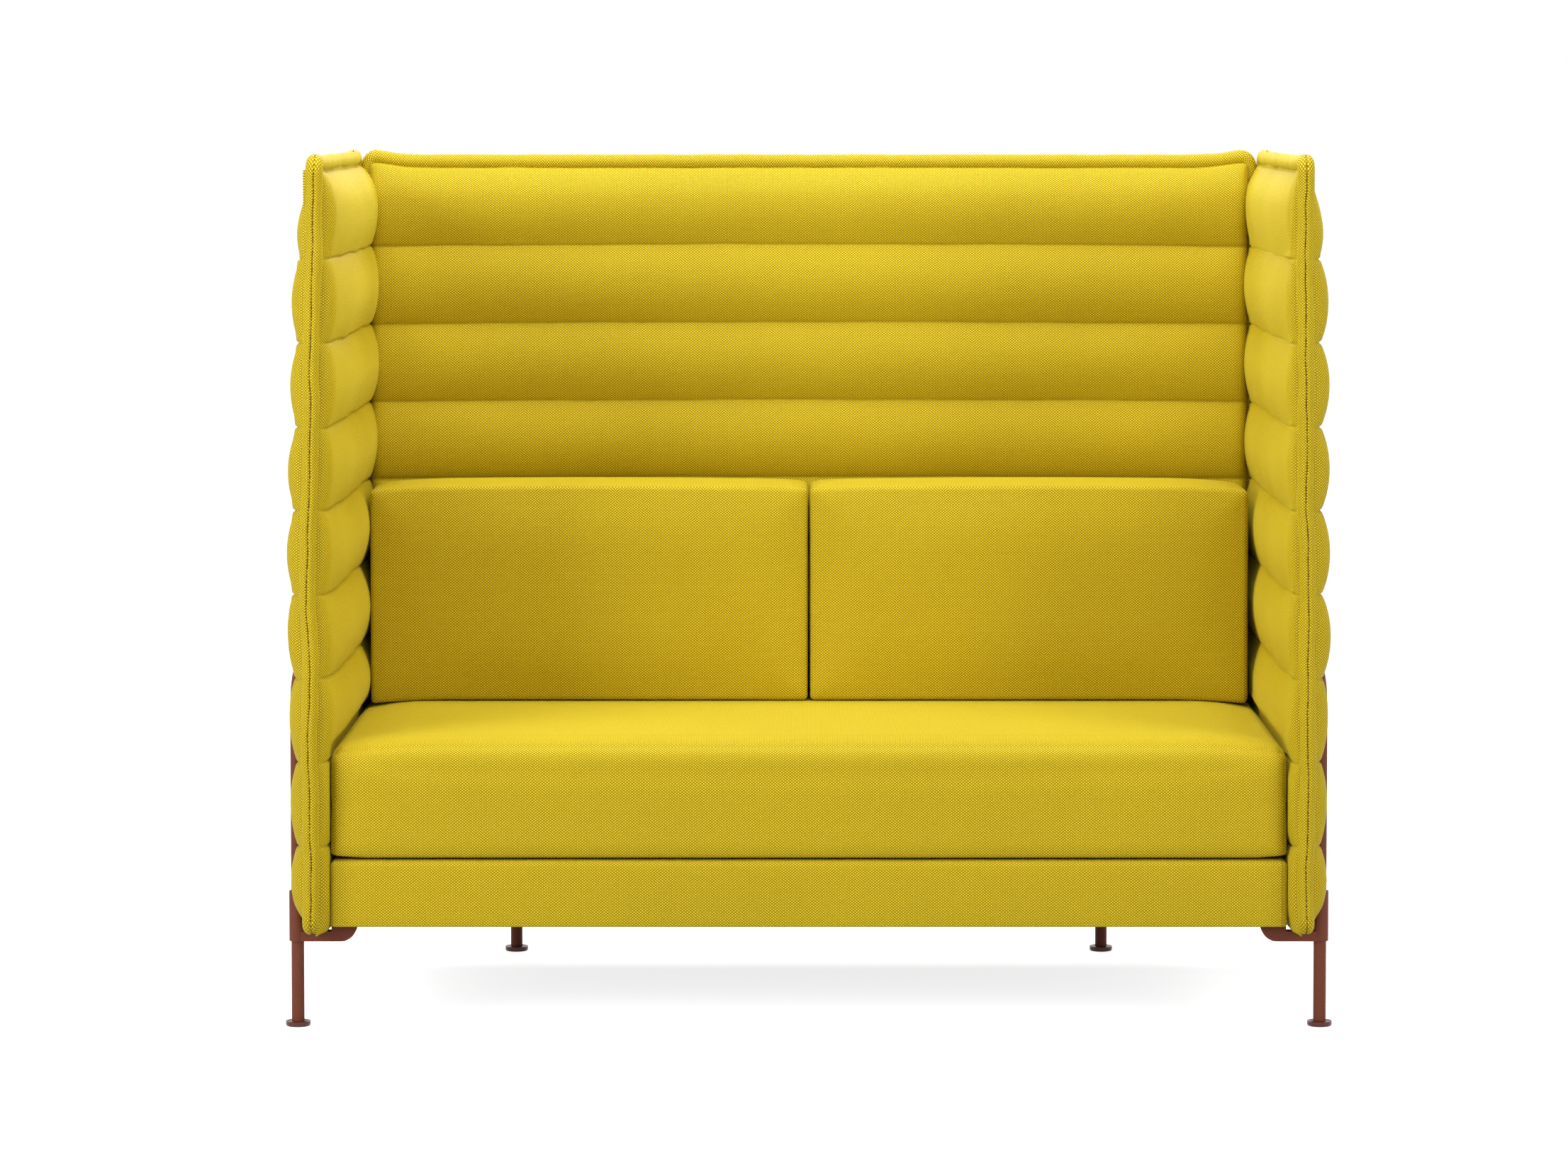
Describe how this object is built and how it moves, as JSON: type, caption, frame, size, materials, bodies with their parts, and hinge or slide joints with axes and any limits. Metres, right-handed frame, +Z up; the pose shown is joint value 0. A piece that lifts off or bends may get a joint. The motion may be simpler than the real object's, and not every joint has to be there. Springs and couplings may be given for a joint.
{
  "type": "high-back privacy sofa",
  "caption": "Wide upholstered sofa with tall quilted side and back panels on a tube frame, with loose seat and back cushions and levelling feet.",
  "frame": {"origin": "on the floor, in the middle of the sofa's width and depth", "axes": "+X to the right seen from the front, +Y from the front to the back, +Z up"},
  "size_m": [1.645, 0.84, 1.37],
  "materials": {
    "yellow_fabric": "matte",
    "frame_coating": "satin",
    "foot_coating": "gloss",
    "zinc_steel": "satin",
    "black_plastic": "matte",
    "beech": "matte",
    "birch_ply": "matte",
    "webbing": "matte",
    "dust_cloth": "matte",
    "zip_nylon": "matte",
    "zip_metal": "satin"
  },
  "bodies": {
    "root": {"side_hoop_left": "frame_coating", "side_hoop_right": "frame_coating", "back_hoop": "frame_coating", "bracket_front_left": "frame_coating", "bracket_front_right": "frame_coating", "bracket_side_left": "frame_coating", "bracket_side_right": "frame_coating", "bracket_rear_left": "frame_coating", "bracket_rear_right": "frame_coating", "foot_inserts": "zinc_steel", "hoop_plugs": "black_plastic", "base_front_rail": "beech", "base_rear_rail": "beech", "base_side_rails": "beech", "base_cross_rails": "beech", "seat_webbing": "webbing", "base_front_pad": "yellow_fabric", "base_side_pads": "yellow_fabric", "base_rear_pad": "yellow_fabric", "base_dust_cover": "dust_cloth", "side_board_left": "birch_ply", "side_board_right": "birch_ply", "back_board": "birch_ply", "side_inner_quilt_left": "yellow_fabric", "side_inner_quilt_right": "yellow_fabric", "side_outer_quilt_left": "yellow_fabric", "side_outer_quilt_right": "yellow_fabric", "back_inner_quilt": "yellow_fabric", "back_outer_quilt": "yellow_fabric", "side_hem_left": "yellow_fabric", "side_hem_right": "yellow_fabric", "back_hem": "yellow_fabric", "corner_zip_left": "zip_nylon", "corner_zip_right": "zip_nylon", "panel_bolts": "zinc_steel", "bracket_screws": "zinc_steel"},
    "seat_cushion": {"seat_cushion": "yellow_fabric"},
    "back_cushion_left": {"back_cushion_left": "yellow_fabric"},
    "back_cushion_right": {"back_cushion_right": "yellow_fabric"},
    "foot_front_left": {"foot_front_left": "foot_coating"},
    "foot_front_right": {"foot_front_right": "foot_coating"},
    "foot_rear_left": {"foot_rear_left": "foot_coating"},
    "foot_rear_right": {"foot_rear_right": "foot_coating"},
    "zip_slider_left": {"zip_slider_left": "zip_metal"},
    "zip_slider_right": {"zip_slider_right": "zip_metal"}
  },
  "joints": [
    {"name": "seat_cushion_slide", "type": "slide", "parent": "root", "child": "seat_cushion", "axis": [0, -1, 0], "range_m": [0, 0.78]},
    {"name": "back_cushion_left_lift", "type": "slide", "parent": "root", "child": "back_cushion_left", "axis": [0, 0, 1], "range_m": [0, 0.92]},
    {"name": "back_cushion_right_lift", "type": "slide", "parent": "root", "child": "back_cushion_right", "axis": [0, 0, 1], "range_m": [0, 0.92]},
    {"name": "foot_front_left_height", "type": "slide", "parent": "root", "child": "foot_front_left", "axis": [0, 0, -1], "range_m": [0, 0.01]},
    {"name": "foot_front_right_height", "type": "slide", "parent": "root", "child": "foot_front_right", "axis": [0, 0, -1], "range_m": [0, 0.01]},
    {"name": "foot_rear_left_height", "type": "slide", "parent": "root", "child": "foot_rear_left", "axis": [0, 0, -1], "range_m": [0, 0.01]},
    {"name": "foot_rear_right_height", "type": "slide", "parent": "root", "child": "foot_rear_right", "axis": [0, 0, -1], "range_m": [0, 0.01]},
    {"name": "zip_left_pull", "type": "slide", "parent": "root", "child": "zip_slider_left", "axis": [0, 0, -1], "range_m": [0, 1.1]},
    {"name": "zip_right_pull", "type": "slide", "parent": "root", "child": "zip_slider_right", "axis": [0, 0, -1], "range_m": [0, 1.1]}
  ]
}
